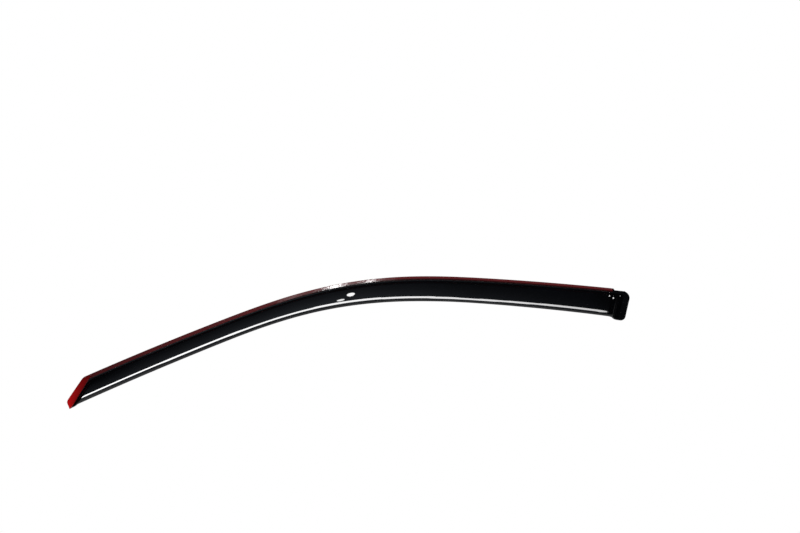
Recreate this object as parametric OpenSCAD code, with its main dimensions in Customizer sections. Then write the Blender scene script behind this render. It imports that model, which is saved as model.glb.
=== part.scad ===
// Front door window rain deflector, left side, in millimetres.
// +X runs rearward along the door, +Z is up and -Y points away from the car. The origin is on the rail, at its
// highest point. The part is a thin shell that follows the door glass: a taped flange along the rail and the
// front end, a joggle, a crowned blade that stands off the glass, a rolled lower edge and a flat rear wing.

/* [Rail line, seen from the side] */
// Length of the rail along the windscreen pillar
pillar_run = 325; // [280:1:380]
// Length of the bend between the pillar and the roof
bend_run = 312; // [260:1:360]
// Length of the rail along the roof, up to the rear end of the flange
roof_run = 289; // [240:1:360]
// Slope of the rail at its front corner, in degrees
front_slope = 23.7; // [21:0.1:26]
// Turn of the rail along the pillar, in degrees
pillar_turn = 3.3; // [0:0.1:5]
// Turn of the rail in the bend, in degrees
bend_turn = 22.9; // [20:0.1:26]
// Turn of the rail along the roof, in degrees
roof_turn = 3.3; // [2:0.1:6]
// Length over which one curve eases into the next
ease_run = 160; // [40:5:200]

/* [Door glass] */
// Lean of the glass from upright at the origin, in degrees
glass_lean = 24; // [12:0.5:32]
// Radius of the glass across its height
glass_r = 1350; // [1000:10:2200]
// Radius of the glass seen from above
bow_r = 6000; // [3500:100:12000]

/* [Section] */
// Wall of the moulding
wall = 2.5; // [2:0.1:3.2]
// Chamfer of the moulding's edges
edge = 0.6; // [0.2:0.1:0.8]
// Width of the flange that takes the tape
flange_w = 8.5; // [7.6:0.1:12]
// Inside radius of both bends of the joggle
joggle_r = 2.2; // [1:0.1:3]
// Slope of the joggle against the flange, in degrees
joggle_angle = 55; // [45:1:65]
// Slope of the blade where it leaves the joggle, in degrees
blade_tilt = 14; // [8:0.5:16]
// Radius of the blade's lower shoulder
shoulder_r = 16; // [10:0.5:20]
// Turn of the lower shoulder, in degrees
shoulder_turn = 22; // [12:1:30]
// Radius of the rolled lower edge
lip_r = 5; // [3.5:0.1:8]
// Turn of the rolled lower edge, in degrees
lip_turn = 36; // [20:1:50]

/* [Width and stand-off] */
// Width across the shell on the pillar
pillar_w = 41; // [38:0.5:48]
// Width across the shell at the rear end of the bend
bend_w = 51; // [48:0.5:54]
// Length ahead of the bend over which the shell starts to widen
widen_lead = 75; // [60:5:120]
// Width across the shell at the rear end
rear_w = 57; // [52:0.5:62]
// Height of the blade's outer face over the flange's seat at the front
front_standoff = 8.5; // [8.5:0.5:11]
// Height of the blade's outer face over the flange's seat at the rear
rear_standoff = 15; // [13:0.5:18]

/* [Front end] */
// Slant of the front end against the section, in degrees
front_slant = 56.6; // [50:0.2:58]
// Slant of the joggle behind the front flange, in degrees
joggle_slant = 53.7; // [50:0.1:54]
// Length of the front end's flange along the rail
front_band = 18.5; // [16:0.5:24]
// Run of the front joggle, square to its slant
front_joggle = 8; // [7:0.1:10]
// Depth at which the slanted edge turns into the square tip
tip_depth = 27.5; // [24:0.5:29]
// Radius that rounds the knee between the slanted edge and the tip
tip_knee = 3; // [1:0.5:4]
// Radius that rounds the front corner
front_corner = 4; // [2:0.5:6]
// Length behind the front joggle over which its slant fades out
straighten = 150; // [120:5:180]

/* [Rear end] */
// Slant of the rear end against the section, in degrees
rear_slant = 8; // [0:0.5:14]
// Length ahead of the fall over which the rear slant comes in
rear_lean_run = 60; // [40:5:80]
// Run over which the blade falls to the wing
rear_fall = 20; // [16:0.5:26]
// Length from the flange's rear end to the wing's root
shoulder_len = 20; // [14:0.5:24]
// Length of the flat rear wing
wing_len = 11; // [10:0.5:20]
// Depth by which the edge steps down behind the flange
relief = 3; // [1.5:0.1:5]
// Slope of the wing's upper edge, in degrees
wing_slope = 28; // [5:1:32]
// Radius of the wing's corners
wing_corner = 7.5; // [4:0.5:8]

/* [Tape] */
// Thickness of the foam tape
foam_t = 0.8; // [0.5:0.1:1.2]
// Thickness of the red liner
liner_t = 0.2; // [0.1:0.05:0.4]
// Width of the tape on the rail
tape_w = 6.4; // [5:0.1:6.4]
// Distance of the tape from the flange's edge
tape_inset = 0.6; // [0.6:0.1:1]
// Gap between the two strips at the front corner
tape_gap = 0.4; // [0.2:0.1:1]
// Radius of the rail tape's rear corner
tape_corner = 4; // [2:0.5:6]
// Length by which the front tape laps over the lower edge
liner_lap = 0.8; // [0:0.1:2]

/* [Hidden] */

// Curvature of the rail's three runs, in degrees per millimetre
pillar_curve = pillar_turn / pillar_run;
bend_curve = bend_turn / bend_run;
roof_curve = roof_turn / roof_run;

// Stations along the rail, measured from the front corner
flange_end = pillar_run + bend_run + roof_run;
wing_root = flange_end + shoulder_len;
rear_end = wing_root + wing_len;
fall_start = wing_root - rear_fall;
band_end = front_band;
joggle_end = band_end + front_joggle / cos(joggle_slant);
// Power by which the roof part widens towards the rear end
widening = 1.4;

// Path of the rail, in steps this long, with length to spare at both ends for the slanted edges
path_step = 5;
front_spare = 90;
rear_spare = 30;
path_start = -front_spare;
path_count = ceil((rear_end + rear_spare - path_start) / path_step);

function radians(angle) = angle * PI / 180;
function unit(v) = v / norm(v);
function clamp01(u) = min(1, max(0, u));
function ease(u) = let (t = clamp01(u)) t * t * (3 - 2 * t);
function blend(a, b, u) = a + (b - a) * u;
function spread(a, b, count) = [for (i = [1:count]) a + (b - a) * i / count];

// Integral of a curvature step that is spread over the easing length
function eased_step(s) =
  let (half = ease_run / 2, u = s / half)
  u < -1 ? 0 : u > 1 ? s : half * (u + 1) * (u + 1) / 4;

// Slope of the rail at a station
function slope(s) =
  front_slope - pillar_curve * s
  - (bend_curve - pillar_curve) * eased_step(s - pillar_run)
  - (roof_curve - bend_curve) * eased_step(s - pillar_run - bend_run);

// Rail seen from the side, as [x, z], summed from the front and moved so that its highest point is the origin
raw_path = [
  for (i = 0, x = 0, z = 0; i <= path_count;
       h = slope(path_start + (i + 0.5) * path_step),
       x = x + path_step * cos(h),
       z = z + path_step * sin(h),
       i = i + 1)
    [x, z]
];
crest = [for (i = [1:path_count]) if (slope(path_start + i * path_step) <= 0) i][0];
crest_part = slope(path_start + (crest - 1) * path_step)
  / (slope(path_start + (crest - 1) * path_step) - slope(path_start + crest * path_step));
top_point = blend(raw_path[crest - 1], raw_path[crest], crest_part);

function rail(s) =
  let (t = (s - path_start) / path_step, i = min(path_count - 1, max(0, floor(t))))
  blend(raw_path[i], raw_path[i + 1], t - i) - top_point;

// Height on the glass's circle, and how far inboard the glass lies at a place seen from the side
function glass_rise(z) = z + glass_r * sin(glass_lean);
function glass_y(x, z) =
  glass_r * cos(glass_lean) - sqrt(pow(glass_r, 2) - pow(glass_rise(z), 2)) + x * x / (2 * bow_r);

// Outward normal of the glass
function glass_out(x, z) =
  unit([x / bow_r, -1, glass_rise(z) / sqrt(pow(glass_r, 2) - pow(glass_rise(z), 2))]);

// Point on the shell: station s on the rail, depth a down the glass and height v off it
function place(s, a, v) =
  let (
    p = rail(s),
    h = slope(s),
    out = glass_out(p[0], p[1]),
    along = [cos(h), 0, sin(h)],
    ahead = unit(along - (along * out) * out),
    down = cross(ahead, out)
  )
  [p[0], glass_y(p[0], p[1]), p[1]] + a * down + v * out;

// Width of the shell and stand-off of the blade at a station
function width(s) =
  let (
    u = (s - pillar_run + widen_lead) / (bend_run + widen_lead),
    r = (s - pillar_run - bend_run) / (rear_end - pillar_run - bend_run)
  )
  blend(pillar_w, bend_w, ease(u)) + (rear_w - bend_w) * pow(clamp01(r), widening);
function standoff(s) = blend(front_standoff, rear_standoff, ease(s / (pillar_run + bend_run)));

// Share of the stand-off over a run of two tangent arcs, from 1 at its start down to 0 at its end
function ogee(x, run, rise) =
  let (t = clamp01(x / run), angle = 2 * atan(rise / run), r = run / sin(angle) / 2, d = run * min(t, 1 - t))
  let (drop = r - sqrt(r * r - d * d))
  (t < 0.5 ? rise - drop : drop) / rise;

// Share of the stand-off at a station and a depth into the wall. Deeper points turn earlier, so that the steep
// ends keep about their full wall.
function lift(s, into) =
  let (rise = standoff(s) - wall)
  s < joggle_end
    ? ogee((joggle_end - s) * cos(joggle_slant) + into * rise / front_joggle, front_joggle, rise)
    : ogee(s - fall_start + into * rise / rear_fall, rear_fall, rise);

// Depth that counts for the slanted front edge: it stops growing at the square tip, rounded where the two meet
function tip_round(a) =
  let (past = a - tip_depth)
  past < -tip_knee ? a : past > tip_knee ? tip_depth : a - pow(past + tip_knee, 2) / (4 * tip_knee);

// How far ahead of its station a point of the shell lies, for the slanted ends
function lead(s, a) =
  let (
    end_lead = tan(front_slant) * tip_round(a),
    joggle_lead = tan(joggle_slant) * a * (1 - ease((s - joggle_end) / straighten)),
    rear_lead = tan(rear_slant) * (a - flange_w) * ease((s - fall_start + rear_lean_run) / rear_lean_run)
  )
  blend(end_lead, joggle_lead, clamp01(s / band_end)) + rear_lead;

// Setback of a rounded corner at a distance from the edge
function corner(d, r) = d >= r ? 0 : r - sqrt(max(0, r * r - pow(r - d, 2)));

// How far the shell's two long edges lie inside its full width at a station: the corners, the relief behind the
// flange and the wing's sloped upper edge
function upper_cut(s) =
  corner(s, front_corner)
  + relief * ease((s - flange_end) / relief)
  + tan(wing_slope) * max(0, s - wing_root)
  + corner(rear_end - s, wing_corner);
function lower_cut(s) = corner(rear_end - s, wing_corner);

// Depth of a section's point once the cuts are made. A cut moves only the points near its own edge.
function cut_depth(s, a) =
  let (top = upper_cut(s), low = lower_cut(s))
  a + top * max(0, 1 - a / max(flange_w, 2 * top))
    - low * max(0, 1 - (width(s) - a) / max(flange_w, 2 * low));

// Points of one straight or round run of the section, from p = [a, v, heading]
function run_points(p, length, turn, count) = [
  for (i = [1:count])
    let (u = i / count, h = p[2], h2 = p[2] + turn * u)
    turn == 0
      ? [p[0] + length * u * cos(h), p[1] + length * u * sin(h), h]
      : [
          p[0] + length / radians(turn) * (sin(h2) - sin(h)),
          p[1] - length / radians(turn) * (cos(h2) - cos(h)),
          h2
        ]
];
function chain(p, runs, i = 0) =
  i == len(runs) ? [] :
  let (part = run_points(p, runs[i][0], runs[i][1], runs[i][2]))
  concat(part, chain(part[len(part) - 1], runs, i + 1));

// Outer face of the section for a width and a stand-off, from the flange's edge to the lip
function section(w, height) =
  let (
    outer_r = joggle_r + wall,
    back = joggle_angle - blade_tilt,
    lip_end = shoulder_turn + lip_turn,
    round_w = (joggle_r + outer_r) * sin(joggle_angle) - outer_r * sin(blade_tilt)
      + shoulder_r * sin(shoulder_turn) + lip_r * (sin(lip_end) - sin(shoulder_turn)) + edge * cos(lip_end),
    round_h = joggle_r * (1 - cos(joggle_angle)) + outer_r * (cos(blade_tilt) - cos(joggle_angle)),
    free_w = w - flange_w - round_w,
    free_h = height - wall - round_h,
    climb = tan(blade_tilt / 2),
    riser = (free_h - free_w * climb) / (sin(joggle_angle) - cos(joggle_angle) * climb),
    blade_w = free_w - riser * cos(joggle_angle)
  )
  concat(
    [[0, wall, 0]],
    chain([0, wall, 0], [
      [edge, 0, 1],
      [tape_inset + tape_w - edge, 0, 1],
      [flange_w - tape_inset - tape_w, 0, 1],
      [joggle_r * radians(joggle_angle), joggle_angle, 3],
      [riser, 0, 1],
      [outer_r * radians(back), -back, 3],
      [blade_w * radians(blade_tilt) / sin(blade_tilt), -blade_tilt, 5],
      [shoulder_r * radians(shoulder_turn), -shoulder_turn, 4],
      [lip_r * radians(lip_turn), -lip_turn, 3],
      [edge, 0, 1]
    ])
  );

// One closed ring of the shell at a station. Each entry of the loop is a point of the outer face and a depth
// into the wall. Where the lift falls to nothing, the section flattens into a plate on the seat.
function shell_ring(s) =
  let (
    pts = section(width(s), standoff(s)),
    last = len(pts) - 1,
    trim = edge * (1 - clamp01(min(s, rear_end - s) / edge)),
    loop = concat(
      [[0, edge]],
      [for (j = [1:last - 1]) [j, 0]],
      [[last, edge], [last, wall - edge]],
      [for (j = [last - 1:-1:1]) [j, wall]],
      [[0, wall - edge]]
    )
  )
  [
    for (q = loop)
      let (
        p = pts[q[0]],
        into = min(wall - trim, max(trim, q[1])),
        k = lift(s, into),
        a = p[0] + k * into * sin(p[2]),
        v = wall + k * (p[1] - wall) - into * (1 - k + k * cos(p[2])),
        depth = cut_depth(s, a)
      )
      place(s - lead(s, depth), depth, v)
  ];

// Stations of the shell, close together where its ends turn. The front tape has the same lines as the band.
band_stations = concat([edge, front_corner / 2, front_corner], spread(front_corner, band_end - tape_gap, 3));
stations = concat(
  [0],
  band_stations,
  [band_end],
  spread(band_end, joggle_end, 6),
  spread(joggle_end, joggle_end + straighten, 12),
  spread(joggle_end + straighten, fall_start - rear_lean_run, 34),
  spread(fall_start - rear_lean_run, fall_start, 4),
  spread(fall_start, flange_end, 6),
  spread(flange_end, wing_root, 6),
  spread(wing_root, rear_end - wing_corner, 3),
  [for (t = [15:15:75]) rear_end - wing_corner * (1 - sin(t))],
  [rear_end]
);

// Solid skin over closed rings. A ring's first and last points face each other across the wall, and so on
// inward. Both sides of the wall are split along the same diagonals, so that layers meet face to face.
module skin(rings) {
  n = len(rings[0]);
  last = len(rings) - 1;
  sides = [
    for (i = [0:last - 1], r = [0:n - 1])
      let (a = i * n + r, b = i * n + (r + 1) % n, c = b + n, d = a + n)
      each r < n / 2 ? [[a, c, b], [a, d, c]] : [[a, d, b], [b, d, c]]
  ];
  caps = [
    for (r = [0:n / 2 - 2])
      let (a = r, b = r + 1, c = n - 2 - r, d = n - 1 - r, e = last * n)
      each [[a, b, c], [a, c, d], [a + e, c + e, b + e], [a + e, d + e, c + e]]
  ];
  polyhedron(points = [for (ring = rings) each ring], faces = concat(sides, caps));
}

// Strips of the tape: where each starts and stops on the rail, and the depths of its lengthwise lines. The
// shell's stations are kept as lines of the rail strip up to this far from its rounded corner.
line_spare = 1;
rail_tape_start = band_end + tape_gap;
rail_tape_end = flange_end - tape_inset;
function rail_tape_depths(s) =
  [tape_inset + corner(rail_tape_end - s, tape_corner), tape_inset + tape_w];
function front_tape_depths(s) =
  let (pts = section(width(s), standoff(s)))
  concat([for (j = [1:len(pts) - 2]) cut_depth(s, pts[j][0])], [width(s) + liner_lap]);
rail_tape_lines = concat(
  [rail_tape_start],
  [for (s = stations) if (s > rail_tape_start && s < rail_tape_end - tape_corner - line_spare) s],
  [for (t = [0:22.5:90]) rail_tape_end - tape_corner * (1 - sin(t))]
);

// One layer of tape over its lines, from height v up by t, with its depths given at each line
module layer(lines, depths, v, t) {
  skin([
    for (i = [0:len(lines) - 1])
      let (s = lines[i], row = depths[i], m = len(row) - 1)
      concat(
        [for (a = row) place(s - lead(s, a), a, v + t)],
        [for (j = [m:-1:0]) place(s - lead(s, row[j]), row[j], v)]
      )
  ]);
}
module rail_layer(v, t) {
  layer(rail_tape_lines, [for (s = rail_tape_lines) rail_tape_depths(s)], v, t);
}
module front_layer(v, t) {
  layer(band_stations, [for (s = band_stations) front_tape_depths(s)], v, t);
}

module visor() {
  color("#0d0f12") skin([for (s = stations) shell_ring(s)]);
}
module top_tape_foam() {
  color("#1c1c1e") rail_layer(wall, foam_t);
}
module top_tape_liner() {
  color("#6e1518") rail_layer(wall + foam_t, liner_t);
}
module front_tape_foam() {
  color("#1c1c1e") front_layer(wall, foam_t);
}
module front_tape_liner() {
  color("#b00510") front_layer(wall + foam_t, liner_t);
}

visor();
top_tape_foam();
top_tape_liner();
front_tape_foam();
front_tape_liner();
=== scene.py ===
# Window rain deflector for the left front door: smooth surfaces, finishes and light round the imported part.
import math

import bpy
import numpy as np
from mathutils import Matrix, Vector


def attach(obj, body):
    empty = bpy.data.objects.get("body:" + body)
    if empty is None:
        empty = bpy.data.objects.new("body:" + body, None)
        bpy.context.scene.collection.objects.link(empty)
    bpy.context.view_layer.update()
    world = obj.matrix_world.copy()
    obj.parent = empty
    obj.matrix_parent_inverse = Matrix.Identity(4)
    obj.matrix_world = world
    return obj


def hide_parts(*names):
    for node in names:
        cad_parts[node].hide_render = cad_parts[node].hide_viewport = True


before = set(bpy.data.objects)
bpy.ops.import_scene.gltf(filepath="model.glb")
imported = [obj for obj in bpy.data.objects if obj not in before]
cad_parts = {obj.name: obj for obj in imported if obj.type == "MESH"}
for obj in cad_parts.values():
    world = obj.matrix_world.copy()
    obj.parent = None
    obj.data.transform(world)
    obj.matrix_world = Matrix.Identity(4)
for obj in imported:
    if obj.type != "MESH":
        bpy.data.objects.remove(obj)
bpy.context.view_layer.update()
millimetre = 0.001
print("packed part loaded:", ", ".join(sorted(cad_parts)))

# Line of the rail seen from the side, and the door glass behind it, in millimetres and degrees
railLine = {
    "pillarRun": 325,
    "bendRun": 312,
    "roofRun": 289,
    "frontSlope": 23.7,
    "pillarTurn": 3.3,
    "bendTurn": 22.9,
    "roofTurn": 3.3,
    "easeRun": 160,
    "frontSpare": 90,
    "rearSpare": 30,
    "step": 0.5,
    "glassLean": 24,
    "glassRadius": 1350,
    "bowRadius": 6000,
}

# The thermoformed sheet, in millimetres and degrees
sheet = {
    "wall": 2.5,
    "edgeRadius": 0.9,
    "rim": 0.6,
    "flangeWidth": 8.5,
    "joggleRadius": 2.2,
    "joggleAngle": 55,
    "bladeTilt": 14,
    "shoulderRadius": 16,
    "shoulderTurn": 22,
    "lipRadius": 5,
    "lipTurn": 36,
    "pillarWidth": 41,
    "bendWidth": 51,
    "rearWidth": 57,
    "widenLead": 75,
    "widening": 1.4,
    "frontStandoff": 8.5,
    "rearStandoff": 15,
    "frontSlant": 56.6,
    "joggleSlant": 53.7,
    "frontBand": 18.5,
    "frontJoggle": 8,
    "tipDepth": 27.5,
    "tipKnee": 3,
    "frontCorner": 4,
    "straighten": 150,
    "rearSlant": 8,
    "rearLeanRun": 60,
    "rearFall": 20,
    "shoulderLength": 20,
    "wingLength": 11,
    "relief": 3,
    "wingSlope": 28,
    "wingCorner": 7.5,
}

flangeEnd = railLine["pillarRun"] + railLine["bendRun"] + railLine["roofRun"]
wingRoot = flangeEnd + sheet["shoulderLength"]
rearEnd = wingRoot + sheet["wingLength"]
fallStart = wingRoot - sheet["rearFall"]
bandEnd = sheet["frontBand"]
joggleEnd = bandEnd + sheet["frontJoggle"] / math.cos(math.radians(sheet["joggleSlant"]))


def unitRange(u):
    return np.clip(u, 0, 1)


def ease(u):
    t = unitRange(u)
    return t * t * (3 - 2 * t)


def mix(a, b, u):
    return a + (b - a) * u


def tangent(angle):
    return math.tan(math.radians(angle))


def between(a, b, count):
    return np.linspace(a, b, count, endpoint=False)


def corner(distance, radius):  # setback of a rounded corner
    inside = np.clip(radius - distance, 0, radius)
    return radius - np.sqrt(radius * radius - inside * inside)


# Slope of the rail in degrees: three curvatures that ease into each other
def railSlope(s):
    pillarCurve = railLine["pillarTurn"] / railLine["pillarRun"]
    bendCurve = railLine["bendTurn"] / railLine["bendRun"]
    roofCurve = railLine["roofTurn"] / railLine["roofRun"]
    half = railLine["easeRun"] / 2

    def easedStep(t):
        return np.where(t < -half, 0, np.where(t > half, t, (t + half) ** 2 / (4 * half)))

    return (railLine["frontSlope"] - pillarCurve * s
            - (bendCurve - pillarCurve) * easedStep(s - railLine["pillarRun"])
            - (roofCurve - bendCurve) * easedStep(s - railLine["pillarRun"] - railLine["bendRun"]))


# The rail as a fine polyline whose highest point is the origin
pathStations = np.arange(-railLine["frontSpare"], rearEnd + railLine["rearSpare"], railLine["step"])
midSlopes = np.radians(railSlope(pathStations[:-1] + railLine["step"] / 2))
pathX = np.concatenate([[0], np.cumsum(np.cos(midSlopes))]) * railLine["step"]
pathZ = np.concatenate([[0], np.cumsum(np.sin(midSlopes))]) * railLine["step"]
crest = np.interp(0, -railSlope(pathStations), pathStations)
pathX = pathX - np.interp(crest, pathStations, pathX)
pathZ = pathZ - np.interp(crest, pathStations, pathZ)


def unit(v):
    return v / np.linalg.norm(v, axis=-1, keepdims=True)


# A point at station s on the rail, depth a down the glass and height v off it, in millimetres
def place(s, a, v):
    radius, bow, lean = railLine["glassRadius"], railLine["bowRadius"], math.radians(railLine["glassLean"])
    x, z = np.interp(s, pathStations, pathX), np.interp(s, pathStations, pathZ)
    slope = np.radians(railSlope(s))
    rise = z + radius * math.sin(lean)
    reach = np.sqrt(radius ** 2 - rise ** 2)
    out = unit(np.stack([x / bow, -np.ones_like(x), rise / reach], -1))
    along = np.stack([np.cos(slope), np.zeros_like(x), np.sin(slope)], -1)
    ahead = unit(along - np.sum(along * out, -1, keepdims=True) * out)
    down = np.cross(ahead, out)
    glass = np.stack([x, radius * math.cos(lean) - reach + x * x / (2 * bow), z], -1)
    return glass + a[..., None] * down + v[..., None] * out


def sheetWidth(s):
    bend = ease((s - railLine["pillarRun"] + sheet["widenLead"]) / (railLine["bendRun"] + sheet["widenLead"]))
    roofStart = railLine["pillarRun"] + railLine["bendRun"]
    roof = unitRange((s - roofStart) / (rearEnd - roofStart)) ** sheet["widening"]
    width = mix(sheet["pillarWidth"], sheet["bendWidth"], bend)
    return width + (sheet["rearWidth"] - sheet["bendWidth"]) * roof


def standoff(s):
    return mix(sheet["frontStandoff"], sheet["rearStandoff"],
               ease(s / (railLine["pillarRun"] + railLine["bendRun"])))


def ogee(x, run, rise):  # share of the rise over two tangent arcs, from 1 down to 0
    t = unitRange(x / run)
    angle = 2 * np.arctan(rise / run)
    radius = run / np.sin(angle) / 2
    drop = radius - np.sqrt(radius ** 2 - (run * np.minimum(t, 1 - t)) ** 2)
    return np.where(t < 0.5, rise - drop, drop) / rise


def lift(s, into):  # share of the stand-off, which falls to nothing at both ends
    rise = standoff(s) - sheet["wall"]
    frontRun = ((joggleEnd - s) * math.cos(math.radians(sheet["joggleSlant"]))
                + into * rise / sheet["frontJoggle"])
    return np.where(s < joggleEnd, ogee(frontRun, sheet["frontJoggle"], rise),
                    ogee(s - fallStart + into * rise / sheet["rearFall"], sheet["rearFall"], rise))


def lead(s, a):  # how far ahead of its station a point lies, for the slanted ends
    past = a - sheet["tipDepth"]
    knee = sheet["tipKnee"]
    bent = a - (past + knee) ** 2 / (4 * knee)
    tip = np.where(past < -knee, a, np.where(past > knee, sheet["tipDepth"], bent))
    endLead = tangent(sheet["frontSlant"]) * tip
    joggleLead = tangent(sheet["joggleSlant"]) * a * (1 - ease((s - joggleEnd) / sheet["straighten"]))
    rearLead = (tangent(sheet["rearSlant"]) * (a - sheet["flangeWidth"])
                * ease((s - fallStart + sheet["rearLeanRun"]) / sheet["rearLeanRun"]))
    return mix(endLead, joggleLead, unitRange(s / bandEnd)) + rearLead


# Depth once the corners, the relief behind the flange and the wing's sloped edge are cut
def cutDepth(s, a):
    low = corner(rearEnd - s, sheet["wingCorner"])
    top = (corner(s, sheet["frontCorner"]) + low
           + sheet["relief"] * ease((s - flangeEnd) / sheet["relief"])
           + tangent(sheet["wingSlope"]) * np.maximum(0, s - wingRoot))
    flange = sheet["flangeWidth"]
    return (a + top * np.maximum(0, 1 - a / np.maximum(flange, 2 * top))
            - low * np.maximum(0, 1 - (sheetWidth(s) - a) / np.maximum(flange, 2 * low)))


runNames = ("flange", "joggle", "riser", "back", "blade", "shoulder", "lip", "rim")


# The section's runs at each station, each with its start point, heading, length, turn and way so far
def sectionRuns(s):
    width, height = sheetWidth(s), standoff(s)
    inner, wall, rim = sheet["joggleRadius"], sheet["wall"], sheet["rim"]
    joggle, tilt = math.radians(sheet["joggleAngle"]), math.radians(sheet["bladeTilt"])
    shoulder, lip = math.radians(sheet["shoulderTurn"]), math.radians(sheet["lipTurn"])
    outer = inner + wall
    roundWidth = ((inner + outer) * math.sin(joggle) - outer * math.sin(tilt)
                  + sheet["shoulderRadius"] * math.sin(shoulder)
                  + sheet["lipRadius"] * (math.sin(shoulder + lip) - math.sin(shoulder))
                  + rim * math.cos(shoulder + lip))
    roundHeight = inner * (1 - math.cos(joggle)) + outer * (math.cos(tilt) - math.cos(joggle))
    freeWidth = width - sheet["flangeWidth"] - roundWidth
    freeHeight = height - wall - roundHeight
    climb = math.tan(tilt / 2)
    riser = (freeHeight - freeWidth * climb) / (math.sin(joggle) - math.cos(joggle) * climb)
    blade = (freeWidth - riser * math.cos(joggle)) * tilt / math.sin(tilt)
    lengths = [sheet["flangeWidth"], inner * joggle, riser, outer * (joggle - tilt), blade,
               sheet["shoulderRadius"] * shoulder, sheet["lipRadius"] * lip, rim]
    turns = [0, joggle, 0, tilt - joggle, -tilt, -shoulder, -lip, 0]
    a, v, heading, travelled = np.zeros_like(s), np.full_like(s, wall), 0, np.zeros_like(s)
    runs = []
    for length, turn in zip(lengths, turns):
        runs.append((a, v, heading, length, turn, travelled))
        a, v, heading, travelled = runPoint(runs[-1], 1)
    return runs


def runPoint(run, u):
    a, v, heading, length, turn, travelled = run
    length = length * np.ones_like(a)
    if turn == 0:
        end = heading
        ahead, up = length * u * math.cos(heading), length * u * math.sin(heading)
    else:
        radius, end = length / turn, heading + turn * u
        ahead = radius * (math.sin(end) - math.sin(heading))
        up = -radius * (math.cos(end) - math.cos(heading))
    return a + ahead, v + up, end, travelled + length * u


# Samples over the outer face as (run, share of the run, depth into the wall), edges rounded
faceSteps = {
    "edge": 5,
    "flange": 7,
    "joggle": 8,
    "riser": 3,
    "back": 10,
    "blade": 20,
    "shoulder": 12,
    "lip": 8,
}


def faceSamples():
    r, flange, rim = sheet["edgeRadius"], sheet["flangeWidth"], sheet["rim"]
    lipLength = sheet["lipRadius"] * math.radians(sheet["lipTurn"])
    lipRun, rimRun = runNames.index("lip"), runNames.index("rim")
    arc = np.radians(np.linspace(90, 0, faceSteps["edge"] + 1))
    samples = [(0, r * (1 - math.sin(t)) / flange, r * (1 - math.cos(t))) for t in arc]
    samples += [(0, mix(r / flange, 1, u), 0) for u in np.linspace(0, 1, faceSteps["flange"])[1:]]
    for run, name in enumerate(runNames[1:lipRun], 1):
        samples += [(run, u, 0) for u in np.linspace(0, 1, faceSteps[name] + 1)[1:]]
    lipEnd = 1 - (r - rim) / lipLength
    samples += [(lipRun, u, 0) for u in np.linspace(0, lipEnd, faceSteps["lip"] + 1)[1:]]
    for t in arc[::-1][1:]:
        back = r * (1 - math.sin(t))
        if back < rim:
            run, u = rimRun, 1 - back / rim
        else:
            run, u = lipRun, 1 - (back - rim) / lipLength
        samples.append((run, u, r * (1 - math.cos(t))))
    return samples


outerFace = faceSamples()
shoulderColumns = [i for i, sample in enumerate(outerFace) if sample[0] == runNames.index("shoulder")]


# Points over the whole sheet: one closed loop per station, out over the face and back along the inner one.
# With each goes its place: station, way round the section and depth into the wall.
def sheetGrid(s):
    runs = sectionRuns(s)
    wall = sheet["wall"]
    loop = outerFace + [(run, u, wall - into) for run, u, into in reversed(outerFace)]
    points = [runPoint(runs[run], u) for run, u, into in loop]
    p0, p1 = np.stack([p[0] for p in points], 1), np.stack([p[1] for p in points], 1)
    heading = np.array([p[2] for p in points])[None, :]
    around = np.stack([p[3] for p in points], 1)
    s = s[:, None] * np.ones_like(p0)
    trim = corner(np.minimum(s, rearEnd - s), sheet["edgeRadius"])
    into = np.clip(np.array([sample[2] for sample in loop])[None, :], trim, wall - trim)
    k = lift(s, into)
    a = p0 + k * into * np.sin(heading)
    v = wall + k * (p1 - wall) - into * (1 - k + k * np.cos(heading))
    depth = cutDepth(s, a)
    return place(s - lead(s, depth), depth, v) * millimetre, np.stack([s, around, into], -1) * millimetre


# A closed skin over rings whose first and last points face each other across the wall
def skinObject(name, grid, sheetPlace, material, edgeMask=None):
    rows, columns = grid.shape[:2]
    index = np.arange(rows * columns).reshape(rows, columns)
    turned = np.roll(index, -1, axis=1)
    quads = np.stack([index[:-1], turned[:-1], turned[1:], index[1:]], -1).reshape(-1, 4)
    r = np.arange(columns // 2 - 1)
    caps = [np.stack([ring[r], ring[columns - 1 - r], ring[columns - 2 - r], ring[r + 1]], -1)[:, ::step]
            for ring, step in ((index[0], 1), (index[-1], -1))]
    faces = np.concatenate([quads, *caps])
    points = grid.reshape(-1, 3)
    first, second, third = (points[faces[:, i]] for i in range(3))
    volume = np.einsum("ij,ij->i", first, np.cross(second, third)).sum()
    if volume < 0:
        faces = faces[:, ::-1]
    mesh = bpy.data.meshes.new(name)
    mesh.from_pydata(points.tolist(), [], faces.tolist())
    mesh.shade_smooth()
    placeAttribute = mesh.attributes.new("sheetPlace", "FLOAT_VECTOR", "POINT")
    placeAttribute.data.foreach_set("vector", sheetPlace.reshape(-1).astype(np.float32))
    if edgeMask is not None:
        edgeAttribute = mesh.attributes.new("cutEdge", "FLOAT", "POINT")
        edgeAttribute.data.foreach_set("value", edgeMask.reshape(-1).astype(np.float32))
    piece = bpy.data.objects.new(name, mesh)
    bpy.context.scene.collection.objects.link(piece)
    mesh.materials.append(material)
    return piece


# Shader helpers. A value is either another node's socket or a constant.
def newMaterial(name):
    material = bpy.data.materials.new(name)
    material.use_nodes = True
    return material, material.node_tree.nodes, material.node_tree.links


def feed(links, value, socket):
    if isinstance(value, bpy.types.NodeSocket):
        links.new(value, socket)
    else:
        socket.default_value = value


def mixColor(nodes, links, factor, first, second):
    node = nodes.new("ShaderNodeMix")
    node.data_type = "RGBA"
    links.new(factor, node.inputs["Factor"])
    for value, socket in ((first, node.inputs[6]), (second, node.inputs[7])):
        feed(links, (*value, 1) if isinstance(value, tuple) else value, socket)
    return node.outputs[2]


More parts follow.
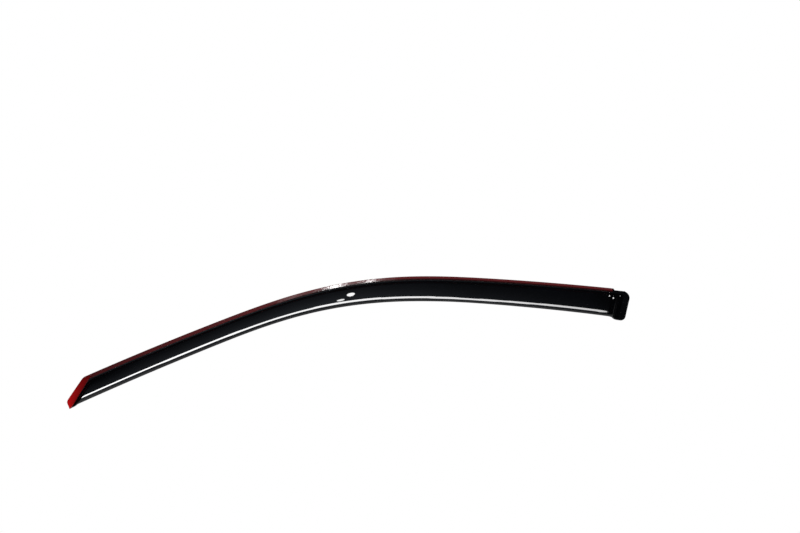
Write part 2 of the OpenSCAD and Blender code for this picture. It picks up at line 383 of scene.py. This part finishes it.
def remap(nodes, links, value, low, high, fromLow=0.0, fromHigh=1.0, smooth=False):
    node = nodes.new("ShaderNodeMapRange")
    if smooth:
        node.interpolation_type = "SMOOTHSTEP"
    links.new(value, node.inputs["Value"])
    for label, limit in (("From Min", fromLow), ("From Max", fromHigh), ("To Min", low), ("To Max", high)):
        feed(links, limit, node.inputs[label])
    return node.outputs["Result"]


def combine(nodes, links, operation, first, second):
    node = nodes.new("ShaderNodeMath")
    node.operation = operation
    feed(links, first, node.inputs[0])
    feed(links, second, node.inputs[1])
    return node.outputs[0]


def scaleVector(nodes, links, vector, shares):
    node = nodes.new("ShaderNodeVectorMath")
    node.operation = "MULTIPLY"
    links.new(vector, node.inputs[0])
    node.inputs[1].default_value = shares
    return node.outputs["Vector"]


def noiseFrom(nodes, links, vector, scale, detail, roughness=0.5):
    node = nodes.new("ShaderNodeTexNoise")
    for label, value in (("Vector", vector), ("Scale", scale), ("Detail", detail), ("Roughness", roughness)):
        feed(links, value, node.inputs[label])
    return node.outputs["Fac"]


def bumpFrom(nodes, links, height, distance, under=None):
    node = nodes.new("ShaderNodeBump")
    node.inputs["Distance"].default_value = distance
    node.inputs["Strength"].default_value = 1.0
    links.new(height, node.inputs["Height"])
    if under is not None:
        links.new(under, node.inputs["Normal"])
    return node.outputs["Normal"]


def sheetVector(nodes):
    node = nodes.new("ShaderNodeAttribute")
    node.attribute_name = "sheetPlace"
    return node.outputs["Vector"]


# A group that turns a place and some numbers into a mask
def newGroup(name, numbers):
    group = bpy.data.node_groups.new(name, "ShaderNodeTree")
    group.interface.new_socket(name="Place", in_out="INPUT", socket_type="NodeSocketVector")
    for label, value in numbers.items():
        socket = group.interface.new_socket(name=label, in_out="INPUT", socket_type="NodeSocketFloat")
        socket.default_value = value
    group.interface.new_socket(name="Mask", in_out="OUTPUT", socket_type="NodeSocketFloat")
    return group, group.nodes.new("NodeGroupInput"), group.nodes.new("NodeGroupOutput")


def maskFrom(nodes, links, group, vector, numbers):
    node = nodes.new("ShaderNodeGroup")
    node.node_tree = group
    links.new(vector, node.inputs["Place"])
    for label, value in numbers.items():
        node.inputs[label].default_value = value
    return node.outputs["Mask"]


# Soft uneven tone: noise stretched about its middle
mottle = {"detail": 4, "roughness": 0.55, "middle": 0.5}


def buildMottle():
    group, given, result = newGroup("unevenTone", {"Scale": 60.0, "Spread": 0.2})
    nodes, links = group.nodes, group.links
    noise = noiseFrom(nodes, links, given.outputs["Place"], given.outputs["Scale"],
                      mottle["detail"], mottle["roughness"])
    low = combine(nodes, links, "SUBTRACT", mottle["middle"], given.outputs["Spread"])
    high = combine(nodes, links, "ADD", mottle["middle"], given.outputs["Spread"])
    links.new(remap(nodes, links, noise, 0.0, 1.0, low, high, smooth=True), result.inputs["Mask"])
    return group


# Hairlines from wiping and handling: two noises, turned, drawn out lengthwise and cut thin
hairline = {"turns": (1, -1.7), "drawn": ((0.03, 1, 1), (0.05, 0.8, 1)), "detail": 2, "cut": (0.66, 0.76)}


def buildHairlines():
    group, given, result = newGroup("hairlines", {"Scale": 900.0, "Turn": 0.2})
    nodes, links = group.nodes, group.links
    masks = []
    for turn, drawn in zip(hairline["turns"], hairline["drawn"]):
        rotate = nodes.new("ShaderNodeVectorRotate")
        rotate.rotation_type = "Z_AXIS"
        links.new(given.outputs["Place"], rotate.inputs["Vector"])
        links.new(combine(nodes, links, "MULTIPLY", given.outputs["Turn"], turn), rotate.inputs["Angle"])
        noise = noiseFrom(nodes, links, scaleVector(nodes, links, rotate.outputs["Vector"], drawn),
                          given.outputs["Scale"], hairline["detail"])
        masks.append(remap(nodes, links, noise, 0.0, 1.0, *hairline["cut"], smooth=True))
    links.new(combine(nodes, links, "MAXIMUM", *masks), result.inputs["Mask"])
    return group


# Sparse dust: a small round speck in a few of the cells of a Voronoi pattern
dustBareShare = 0.93


def buildDust():
    group, given, result = newGroup("dustSpecks", {"Scale": 260.0, "Size": 0.1})
    nodes, links = group.nodes, group.links
    cells = nodes.new("ShaderNodeTexVoronoi")
    links.new(given.outputs["Place"], cells.inputs["Vector"])
    links.new(given.outputs["Scale"], cells.inputs["Scale"])
    chosen = nodes.new("ShaderNodeSeparateColor")
    links.new(cells.outputs["Color"], chosen.inputs["Color"])
    kept = combine(nodes, links, "GREATER_THAN", chosen.outputs["Red"], dustBareShare)
    speck = combine(nodes, links, "LESS_THAN", cells.outputs["Distance"], given.outputs["Size"])
    links.new(combine(nodes, links, "MULTIPLY", kept, speck), result.inputs["Mask"])
    return group


unevenTone, hairlines, dustSpecks = buildMottle(), buildHairlines(), buildDust()
print("shader groups ready")


# Polished smoke acrylic: near black, faint forming ripple, hairlines, dust and a duller sawn edge
acrylic = {
    "deepToneAndShade": (0.0006, 0.0007, 0.0009),
    "smoke": (0.0014, 0.0016, 0.0022),
    "dustTone": (0.05, 0.05, 0.05),
    "edgeTone": (0.012, 0.013, 0.015),
    "tone": {"Scale": 14.0, "Spread": 0.25},
    "haze": {"Scale": 120.0, "Spread": 0.2},
    "ripple": {"Scale": 26.0, "Spread": 0.45},
    "hairlines": {"Scale": 1500.0, "Turn": 0.35},
    "dust": {"Scale": 240.0, "Size": 0.05},
    "polish": (0.015, 0.045),
    "hairlineRoughness": 0.12,
    "edgeRoughness": 0.3,
    "edgeFade": 0.6,
    "rippleHeight": 0.00003,
    "hairlineHeight": 0.000002,
    "ior": 1.49,
}


def makeAcrylic():
    material, nodes, links = newMaterial("smokeAcrylic")
    shader = nodes["Principled BSDF"]
    where = sheetVector(nodes)
    tone, haze, ripple = (maskFrom(nodes, links, unevenTone, where, acrylic[part])
                          for part in ("tone", "haze", "ripple"))
    lines = maskFrom(nodes, links, hairlines, where, acrylic["hairlines"])
    dust = maskFrom(nodes, links, dustSpecks, where, acrylic["dust"])
    edge = nodes.new("ShaderNodeAttribute")
    edge.attribute_name = "cutEdge"
    body = mixColor(nodes, links, tone, acrylic["deepToneAndShade"], acrylic["smoke"])
    body = mixColor(nodes, links, edge.outputs["Fac"], body, acrylic["edgeTone"])
    body = mixColor(nodes, links, dust, body, acrylic["dustTone"])
    links.new(body, shader.inputs["Base Color"])
    rough = remap(nodes, links, haze, *acrylic["polish"])
    for mask, roughness in ((lines, "hairlineRoughness"), (edge.outputs["Fac"], "edgeRoughness")):
        rough = combine(nodes, links, "MAXIMUM", rough,
                        combine(nodes, links, "MULTIPLY", mask, acrylic[roughness]))
    links.new(rough, shader.inputs["Roughness"])
    rippled = bumpFrom(nodes, links, ripple, acrylic["rippleHeight"])
    links.new(bumpFrom(nodes, links, lines, acrylic["hairlineHeight"], rippled), shader.inputs["Normal"])
    shader.inputs["IOR"].default_value = acrylic["ior"]
    return material


# Stations of the sheet: how many lie in each stretch of it, and the turns and edge shares that end it
sheetSteps = {
    "edge": 5,
    "frontCorner": 8,
    "band": 10,
    "joggle": 36,
    "straighten": 50,
    "run": 150,
    "lean": 20,
    "fall": 44,
    "wing": 12,
    "cornerTurns": range(0, 66, 6),
    "endShares": (0.8, 0.55, 0.35, 0.2, 0.1, 0.04),
}


def stretches(stops, counts):
    return np.concatenate([between(a, b, count) for a, b, count in zip(stops, stops[1:], counts)])


def sheetStations():
    r, wing = sheet["edgeRadius"], sheet["wingCorner"]
    rounding = r * (1 - np.cos(np.radians(between(0, 90, sheetSteps["edge"]))))
    stops = [r, sheet["frontCorner"], bandEnd, joggleEnd, joggleEnd + sheet["straighten"],
             fallStart - sheet["rearLeanRun"], fallStart, wingRoot, rearEnd - wing]
    counts = [sheetSteps[name] for name in
              ("frontCorner", "band", "joggle", "straighten", "run", "lean", "fall", "wing")]
    wingArc = wing * (1 - np.sin(np.radians(sheetSteps["cornerTurns"])))
    lastEdge = r * np.array(sheetSteps["endShares"])
    return np.concatenate([rounding, stretches(stops, counts),
                           rearEnd - wingArc, rearEnd - lastEdge, [rearEnd]])


shellStations = sheetStations()
shellGrid, shellPlace = sheetGrid(shellStations)
fromFront, around = shellPlace[..., 0], shellPlace[..., 1]
rimDistance = np.minimum.reduce([fromFront, rearEnd * millimetre - fromFront,
                                 around, around.max(axis=1, keepdims=True) - around]) / millimetre
cutEdge = unitRange(1 - rimDistance / sheet["edgeRadius"]) ** acrylic["edgeFade"]
shell = skinObject("deflectorShell", shellGrid, shellPlace, makeAcrylic(), cutEdge)
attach(shell, "root")
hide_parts("visor")
print("shell:", len(shell.data.vertices), "points")

# Foam tape with its red liner, in millimetres
tape = {
    "foamThickness": 0.8,
    "linerThickness": 0.2,
    "width": 6.4,
    "inset": 0.6,
    "gap": 0.4,
    "corner": 4,
    "lap": 0.8,
    "ripple": 0.035,
    "waves": ((0.4, 0.061, 0.31, 0.4), (0.3, 0.173, -0.52, 1.9),
              (0.2, 0.412, 0.77, 4.1), (0.1, 0.93, 0.35, 2.2)),
    "filmEdge": 0.05,
    "railRows": 15,
    "railSteps": 420,
    "railCornerSteps": 12,
    "frontRows": 70,
    "frontSteps": (14, 24),
}
railTapeStart = bandEnd + tape["gap"]
railTapeEnd = flangeEnd - tape["inset"]


# The film isn't quite flat: long low waves and a few short ones
def filmRipple(s, a):
    return sum(share * np.sin(along * s + down * a + phase) for share, along, down, phase in tape["waves"])


# One layer of tape on the flange, from height low up to high, over rows of depths. Only its seat is flat.
def layerGrid(s, depths, low, high, softEdge):
    s = s[:, None] * np.ones_like(depths)
    wave = tape["ripple"] * (filmRipple(s, depths) - 1)
    bottomWave = 0 if low == sheet["wall"] else wave
    sink = np.zeros(depths.shape[1])
    sink[[0, -1]] = softEdge
    upper = place(s - lead(s, depths), depths, high + wave - sink)
    lower = place(s - lead(s, depths), depths, low + bottomWave + np.zeros_like(s))
    grid = np.concatenate([upper, lower[:, ::-1]], 1) * millimetre
    flat = np.stack([s, depths, np.zeros_like(s)], -1)
    under = np.stack([s, depths, np.ones_like(s)], -1)
    return grid, np.concatenate([flat, under[:, ::-1]], 1) * millimetre


def railDepths(s):
    start = tape["inset"] + corner(railTapeEnd - s, tape["corner"])
    return mix(start[:, None], tape["inset"] + tape["width"], np.linspace(0, 1, tape["railRows"])[None, :])


def frontDepths(s):
    start = cutDepth(s, np.full_like(s, sheet["rim"]))
    end = sheetWidth(s) + tape["lap"]
    return mix(start[:, None], end[:, None], np.linspace(0, 1, tape["frontRows"])[None, :])


foamLook = {
    "dark": (0.012, 0.012, 0.013),
    "pale": (0.04, 0.04, 0.043),
    "tone": {"Scale": 300.0, "Spread": 0.25},
    "toneLift": 0.4,
    "cell": 1400.0,
    "pits": (0.1, 0.5),
    "roughness": (0.75, 0.95),
    "cellHeight": 0.0001,
}


def makeFoam():
    material, nodes, links = newMaterial("closedCellFoam")
    shader = nodes["Principled BSDF"]
    where = nodes.new("ShaderNodeTexCoord").outputs["Object"]
    cells = nodes.new("ShaderNodeTexVoronoi")
    cells.inputs["Scale"].default_value = foamLook["cell"]
    links.new(where, cells.inputs["Vector"])
    tone = maskFrom(nodes, links, unevenTone, where, foamLook["tone"])
    pits = remap(nodes, links, cells.outputs["Distance"], 0.0, 1.0, *foamLook["pits"])
    # Painted shade: the foam's colour is darker in its cell pits, with a random tone over it.
    shade = combine(nodes, links, "MULTIPLY", pits, combine(nodes, links, "ADD", tone, foamLook["toneLift"]))
    links.new(mixColor(nodes, links, shade, foamLook["dark"], foamLook["pale"]), shader.inputs["Base Color"])
    links.new(remap(nodes, links, pits, *foamLook["roughness"]), shader.inputs["Roughness"])
    links.new(bumpFrom(nodes, links, pits, foamLook["cellHeight"]), shader.inputs["Normal"])
    return material


# Red release film, thin and glossy, with fine ripples, hairlines and dust. Painted shade darkens its red
# towards the front of the rail's strip and along the lower edge of its rear half, and towards the top and fold
# of the other.
railFilm = {
    "name": "railFilm",
    # The darker of the two colours is painted shade, the other the film's full red; the shares below place the
    # shade.
    "deepToneAndShade": (0.012, 0.0004, 0.0006),
    "red": (0.106, 0.0145, 0.0155),
    "along": (0.0, 0.45),
    "alongShare": (0.36, 1.0),
    "across": (0.0056, 0.0038),
    "acrossFrom": (0.3, 0.44),
    "acrossShare": 0.06,
    "gloss": (0.07, 0.13),
    "specular": 0.15,
}
frontFilm = {
    "name": "frontFilm",
    "deepToneAndShade": (0.02, 0.0005, 0.001),
    "red": (0.42, 0.002, 0.003),
    "along": (0.018, 0.003),
    "alongShare": (0.45, 1.0),
    "across": (0.002, 0.036),
    "acrossFrom": (-0.2, -0.1),
    "acrossShare": 0.25,
    "gloss": (0.24, 0.34),
    "specular": 0.07,
}
filmDetail = {
    "tone": {"Scale": 45.0, "Spread": 0.3},
    "fine": {"Scale": 420.0, "Spread": 0.25},
    "ripple": {"Scale": 130.0, "Spread": 0.4},
    "hairlines": {"Scale": 1100.0, "Turn": 0.15},
    "dust": {"Scale": 300.0, "Size": 0.07},
    "mottle": (0.84, 1.1),
    "dustTone": (0.3, 0.2, 0.19),
    "rippleHeight": 0.00003,
    "lineHeight": 0.000003,
    "lineRoughness": 0.1,
}


def makeFilm(look):
    material, nodes, links = newMaterial(look["name"])
    shader = nodes["Principled BSDF"]
    where = sheetVector(nodes)
    tone, fine, ripple = (maskFrom(nodes, links, unevenTone, where, filmDetail[part])
                          for part in ("tone", "fine", "ripple"))
    lines = maskFrom(nodes, links, hairlines, where, filmDetail["hairlines"])
    dust = maskFrom(nodes, links, dustSpecks, where, filmDetail["dust"])
    split = nodes.new("ShaderNodeSeparateXYZ")
    links.new(where, split.inputs[0])
    # Painted shade: the red is darkened by place on the strip, not by the film's dye, with a random tone over
    # it.
    along = remap(nodes, links, split.outputs["X"], *look["alongShare"], *look["along"])
    side = remap(nodes, links, split.outputs["Y"], 1.0, 0.0, *look["across"])
    fades = remap(nodes, links, split.outputs["X"], 0.0, 1 - look["acrossShare"], *look["acrossFrom"])
    across = combine(nodes, links, "SUBTRACT", 1.0, combine(nodes, links, "MULTIPLY", side, fades))
    paintedShadeAndTone = combine(nodes, links, "MULTIPLY", along, across)
    paintedShadeAndTone = combine(nodes, links, "MULTIPLY", paintedShadeAndTone, remap(nodes, links, tone, *filmDetail["mottle"]))
    body = mixColor(nodes, links, paintedShadeAndTone, look["deepToneAndShade"], look["red"])
    body = mixColor(nodes, links, dust, body, filmDetail["dustTone"])
    links.new(body, shader.inputs["Base Color"])
    rough = combine(nodes, links, "ADD", remap(nodes, links, fine, *look["gloss"]),
                    combine(nodes, links, "MULTIPLY", lines, filmDetail["lineRoughness"]))
    links.new(rough, shader.inputs["Roughness"])
    rippled = bumpFrom(nodes, links, ripple, filmDetail["rippleHeight"])
    links.new(bumpFrom(nodes, links, lines, filmDetail["lineHeight"], rippled), shader.inputs["Normal"])
    shader.inputs["Specular IOR Level"].default_value = look["specular"]
    return material


foamTop = sheet["wall"] + tape["foamThickness"]
linerTop = foamTop + tape["linerThickness"]
cornerTurns = np.radians(np.linspace(0, 90, tape["railCornerSteps"] + 1))
railStations = np.concatenate([
    between(railTapeStart, railTapeEnd - tape["corner"], tape["railSteps"]),
    railTapeEnd - tape["corner"] * (1 - np.sin(cornerTurns)),
])
frontStops = [sheet["rim"], sheet["frontCorner"], bandEnd - tape["gap"]]
frontStations = np.concatenate([stretches(frontStops, tape["frontSteps"]), frontStops[-1:]])
foamLayer = (sheet["wall"], foamTop, 0.0)
linerLayer = (foamTop, linerTop, tape["filmEdge"])
foam, railLiner, frontLiner = makeFoam(), makeFilm(railFilm), makeFilm(frontFilm)
strips = [
    ("railTapeFoam", "top_tape_foam", "tape_foam", railStations, railDepths, foamLayer, foam),
    ("railTapeLiner", "top_tape_liner", "rail_liner", railStations, railDepths, linerLayer, railLiner),
    ("frontTapeFoam", "front_tape_foam", "tape_foam", frontStations, frontDepths, foamLayer, foam),
    ("frontTapeLiner", "front_tape_liner", "front_liner", frontStations, frontDepths, linerLayer, frontLiner),
]
for name, node, slot, stations, depths, layer, material in strips:
    grid, stripPlace = layerGrid(stations, depths(stations), *layer)
    strip = skinObject(name, grid, stripPlace, material)
    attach(strip, "root")
    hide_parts(node)
print("tape strips laid")

# Camera at the photograph's angle: level, square to the door
view = {"aim": (-0.0467, -0.03, 0.0173), "distance": 5.0, "lens": 133.1, "sensor": 36, "clip": 60}
camera = bpy.data.objects.new("camera", bpy.data.cameras.new("camera"))
bpy.context.scene.collection.objects.link(camera)
camera.location = (view["aim"][0], view["aim"][1] - view["distance"], view["aim"][2])
camera.rotation_euler = (math.radians(90), 0, 0)
camera.data.lens = view["lens"]
camera.data.sensor_width = view["sensor"]
camera.data.clip_end = view["clip"]
bpy.context.scene.camera = camera
bpy.context.scene.view_settings.view_transform = "Standard"

# Plain pale floor that keeps the shadow near the part and runs out to white
floorLook = {
    "height": -0.5,
    "size": 24,
    "pale": (0.86, 0.86, 0.86),
    "mark": (0.82, 0.82, 0.825),
    "tone": {"Scale": 3.0, "Spread": 0.3},
    "roughness": 0.6,
    "fade": (0.1, 0.7),
}


def makeFloor():
    mesh = bpy.data.meshes.new("floor")
    half = floorLook["size"] / 2
    corners = [(x * half, y * half, floorLook["height"]) for x, y in ((-1, -1), (1, -1), (1, 1), (-1, 1))]
    mesh.from_pydata(corners, [], [(0, 1, 2, 3)])
    floor = bpy.data.objects.new("floor", mesh)
    bpy.context.scene.collection.objects.link(floor)
    material, nodes, links = newMaterial("paleFloor")
    shader = nodes["Principled BSDF"]
    where = nodes.new("ShaderNodeTexCoord").outputs["Object"]
    tone = maskFrom(nodes, links, unevenTone, where, floorLook["tone"])
    links.new(mixColor(nodes, links, tone, floorLook["pale"], floorLook["mark"]), shader.inputs["Base Color"])
    shader.inputs["Roughness"].default_value = floorLook["roughness"]
    reach = nodes.new("ShaderNodeVectorMath")
    reach.operation = "LENGTH"
    links.new(scaleVector(nodes, links, where, (1, 1, 0)), reach.inputs[0])
    fade = remap(nodes, links, reach.outputs["Value"], 0.0, 1.0, *floorLook["fade"], smooth=True)
    seen = nodes.new("ShaderNodeLightPath").outputs["Is Camera Ray"]
    white = nodes.new("ShaderNodeEmission")
    blendShader = nodes.new("ShaderNodeMixShader")
    links.new(combine(nodes, links, "MULTIPLY", fade, seen), blendShader.inputs[0])
    links.new(shader.outputs[0], blendShader.inputs[1])
    links.new(white.outputs[0], blendShader.inputs[2])
    links.new(blendShader.outputs[0], nodes["Material Output"].inputs["Surface"])
    mesh.materials.append(material)


makeFloor()

# Soft even daylight for colour. Gloss sees a white backdrop behind the part, a dark room, and a bluish patch
# of sky over the camera that fades upwards and to both sides.
room = {
    "seen": (1.0, 1.0, 1.0),
    "even": (0.72, 0.72, 0.73),
    "backdrop": (1.0, 1.0, 1.0),
    "dark": (0.006, 0.006, 0.008),
    "sky": (0.46, 0.5, 0.58),
    "fall": (0.2, 0.06),
    "behind": (0.0, 0.2),
    "beside": (1.0, 0.75),
    "camera": (0.1, -0.3),
    "skyTop": (0.98, 0.62),
    "skyLeft": (-0.42, -0.1),
    "skyRight": (0.2, -0.12),
    "skyLeast": 0.16,
}


def makeWorld():
    world = bpy.data.worlds.new("studio")
    bpy.context.scene.world = world
    world.use_nodes = True
    nodes, links = world.node_tree.nodes, world.node_tree.links
    split = nodes.new("ShaderNodeSeparateXYZ")
    links.new(nodes.new("ShaderNodeTexCoord").outputs["Generated"], split.inputs[0])

    def share(axis, stops, low=0.0, high=1.0):
        return remap(nodes, links, split.outputs[axis], low, high, *room[stops])

    def product(first, second):
        return combine(nodes, links, "MULTIPLY", first, second)

    backdrop = product(product(share("Z", "fall"), share("Y", "behind")), share("X", "beside"))
    sky = product(share("Z", "skyTop", room["skyLeast"]), share("Y", "camera"))
    sky = product(sky, product(share("X", "skyLeft"), share("X", "skyRight")))
    gloss = mixColor(nodes, links, sky, room["dark"], room["sky"])
    gloss = mixColor(nodes, links, backdrop, gloss, room["backdrop"])
    path = nodes.new("ShaderNodeLightPath")
    mirrored = combine(nodes, links, "MAXIMUM",
                       path.outputs["Is Glossy Ray"], path.outputs["Is Transmission Ray"])
    light = mixColor(nodes, links, mirrored, room["even"], gloss)
    light = mixColor(nodes, links, path.outputs["Is Camera Ray"], light, room["seen"])
    links.new(light, nodes["Background"].inputs["Color"])


makeWorld()


def addLamp(name, shape, lamp, power, turn):
    light = bpy.data.lights.new(name, "AREA")
    light.shape = shape
    light.size, light.size_y = lamp["size"]
    light.energy = power
    lampObject = bpy.data.objects.new(name, light)
    bpy.context.scene.collection.objects.link(lampObject)
    lampObject.visible_camera = False
    lampObject.location = lamp["at"]
    lampObject.rotation_euler = turn.to_euler()
    return lampObject


softboxAim = Vector((-0.1, 0, -0.1))
softboxes = {
    "leftSoftbox": {"at": (-2.3, -0.9, 1.2), "size": (1.2, 1.2), "power": 22},
    "rightSoftbox": {"at": (2.2, -1.1, 0.9), "size": (1.0, 1.4), "power": 14},
    "topSoftbox": {"at": (0.1, 1.0, 1.9), "size": (2.0, 0.8), "power": 16},
}
for name, lamp in softboxes.items():
    turn = (softboxAim - Vector(lamp["at"])).to_track_quat("-Z", "Y")
    softbox = addLamp(name, "RECTANGLE", lamp, lamp["power"], turn)
    softbox.visible_glossy = False

# A bright strip in front of the part, bent so that the shoulder mirrors it as one line from end to end. Its
# two edges are given as shares of the shoulder's width at stations of the sheet.
brightStrip = {
    "plane": -1.7,
    "start": 36,
    "end": 917,
    "spare": (0.18, 0.07),
    "taper": 6,
    "stations": (40, 100, 200, 290, 500, 600, 680, 770, 840, 915),
    "upper": (0.06, 0.035, 0.01, 0.1, 0.07, 0.12, 0.28, 0.135, 0.03, 0.06),
    "lower": (0.36, 0.4, 0.44, 0.54, 0.56, 0.64, 0.75, 0.6, 0.52, 0.59),
    "glowFrom": (-0.9, 0.7),
    "glow": (31.0, 13.5),
}


# Where the camera's rays, mirrored by the shoulder, cross the strip's plane
def stripEdge(shares):
    inside = (shellStations > brightStrip["start"]) & (shellStations < brightStrip["end"])
    column = mix(shoulderColumns[0] - 1, shoulderColumns[-1],
                 np.interp(shellStations, brightStrip["stations"], brightStrip[shares]))
    k = column.astype(int)
    row = np.arange(len(shellStations))
    points = mix(shellGrid[row, k], shellGrid[row, k + 1], (column - k)[:, None])
    normal = unit(np.cross(np.gradient(points, axis=0), shellGrid[row, k + 1] - shellGrid[row, k]))
    normal = normal * -np.sign(normal[:, 1:2])
    ray = unit(points - np.array(camera.location))
    mirrored = ray - 2 * np.sum(ray * normal, -1, keepdims=True) * normal
    reach = (brightStrip["plane"] - points[:, 1:2]) / mirrored[:, 1:2]
    return (points + reach * mirrored)[inside]


# Both ends of the strip run out to a point
upper, lower = stripEdge("upper"), stripEdge("lower")
middle = (upper + lower) / 2
tips = [middle[end] + unit(middle[end] - middle[within]) * spare for end, within, spare in
        zip((0, -1), (brightStrip["taper"], -1 - brightStrip["taper"]), brightStrip["spare"])]
upper, lower = (np.concatenate([tips[:1], line, tips[1:]]) for line in (upper, lower))


def litOnly(name, piece):
    lit = bpy.data.collections.new(name)
    lit.objects.link(piece)
    return lit


shellOnly = litOnly("shellOnly", shell)
filmOnly = litOnly("filmOnly", bpy.data.objects["railTapeLiner"])


# A card that only gloss sees, and only on the shell. Its glow runs between two values along x.
def glowCard(name, points, faces, glow, glowFrom=(0, 1)):
    mesh = bpy.data.meshes.new(name)
    mesh.from_pydata(points, [], faces)
    card = bpy.data.objects.new(name, mesh)
    bpy.context.scene.collection.objects.link(card)
    material, nodes, links = newMaterial(name + "Glow")
    nodes.remove(nodes["Principled BSDF"])
    where = nodes.new("ShaderNodeSeparateXYZ")
    links.new(nodes.new("ShaderNodeTexCoord").outputs["Object"], where.inputs[0])
    emission = nodes.new("ShaderNodeEmission")
    links.new(remap(nodes, links, where.outputs["X"], *glow, *glowFrom), emission.inputs["Strength"])
    links.new(emission.outputs[0], nodes["Material Output"].inputs["Surface"])
    mesh.materials.append(material)
    card.visible_camera = card.visible_diffuse = card.visible_shadow = card.visible_transmission = False
    card.light_linking.receiver_collection = shellOnly


count = len(upper)
glowCard("stripSoftbox", np.concatenate([upper, lower]).tolist(),
         [(i, i + 1, count + i + 1, count + i) for i in range(count - 1)],
         brightStrip["glow"], brightStrip["glowFrom"])

# Small oval cards, each a centre and two half axes, leave glints on the blade and at its rear end. Three of
# them hang close to the sheet, where little else of it can mirror them.
ringPoints = 24
glints = {
    "bladeGlintHigh": {
        "at": (-0.1341, -0.045, 0.004),
        "axes": ((0.0067, 0.0033), (0.0018, -0.0117)),
        "glow": 24,
    },
    "bladeGlintLow": {
        "at": (-0.1493, -0.045, -0.0219),
        "axes": ((0.0064, 0.0021), (0.0006, -0.0038)),
        "glow": 21,
    },
    "rearGlintHigh": {
        "at": (0.3606, -0.1, 0.2354),
        "axes": ((0.0019, 0.0026), (-0.0024, -0.015)),
        "glow": 40,
    },
    "rearGlintLow": {
        "at": (1.05, -0.42, 1.0),
        "axes": ((0.24, 0.038), (0.03, -0.07)),
        "glow": 20,
    },
}
for name, glint in glints.items():
    (x, y, z), (first, second) = glint["at"], glint["axes"]
    ring = [(x + first[0] * math.cos(t) + second[0] * math.sin(t), y,
             z + first[1] * math.cos(t) + second[1] * math.sin(t))
            for t in between(0, 2 * math.pi, ringPoints)]
    glowCard(name, ring, [tuple(range(ringPoints))], (glint["glow"], glint["glow"]))

# Oval lamps that only the rail's film mirrors: two glints, a sheen before them and a faint wash round them
filmLampsFacing = Vector((-0.05, -0.42, 0.43))
filmLamps = {
    "filmGlintLeft": {"at": (-0.1975, -0.42, 0.4305), "size": (0.024, 0.1), "glow": 150},
    "filmGlintRight": {"at": (-0.122, -0.42, 0.44), "size": (0.012, 0.08), "glow": 150},
    "filmSheen": {"at": (-0.296, -0.42, 0.37), "size": (0.04, 0.1), "glow": 4},
    "filmWash": {"at": (-0.2, -0.42, 0.403), "size": (0.32, 0.14), "glow": 1.6},
}
for name, lamp in filmLamps.items():
    oval = math.pi / 4 * lamp["size"][0] * lamp["size"][1]
    filmLamp = addLamp(name, "ELLIPSE", lamp, lamp["glow"] * math.pi * oval,
                       filmLampsFacing.to_track_quat("Z", "Y"))
    filmLamp.visible_diffuse = False
    filmLamp.light_linking.receiver_collection = filmOnly
print("studio ready")
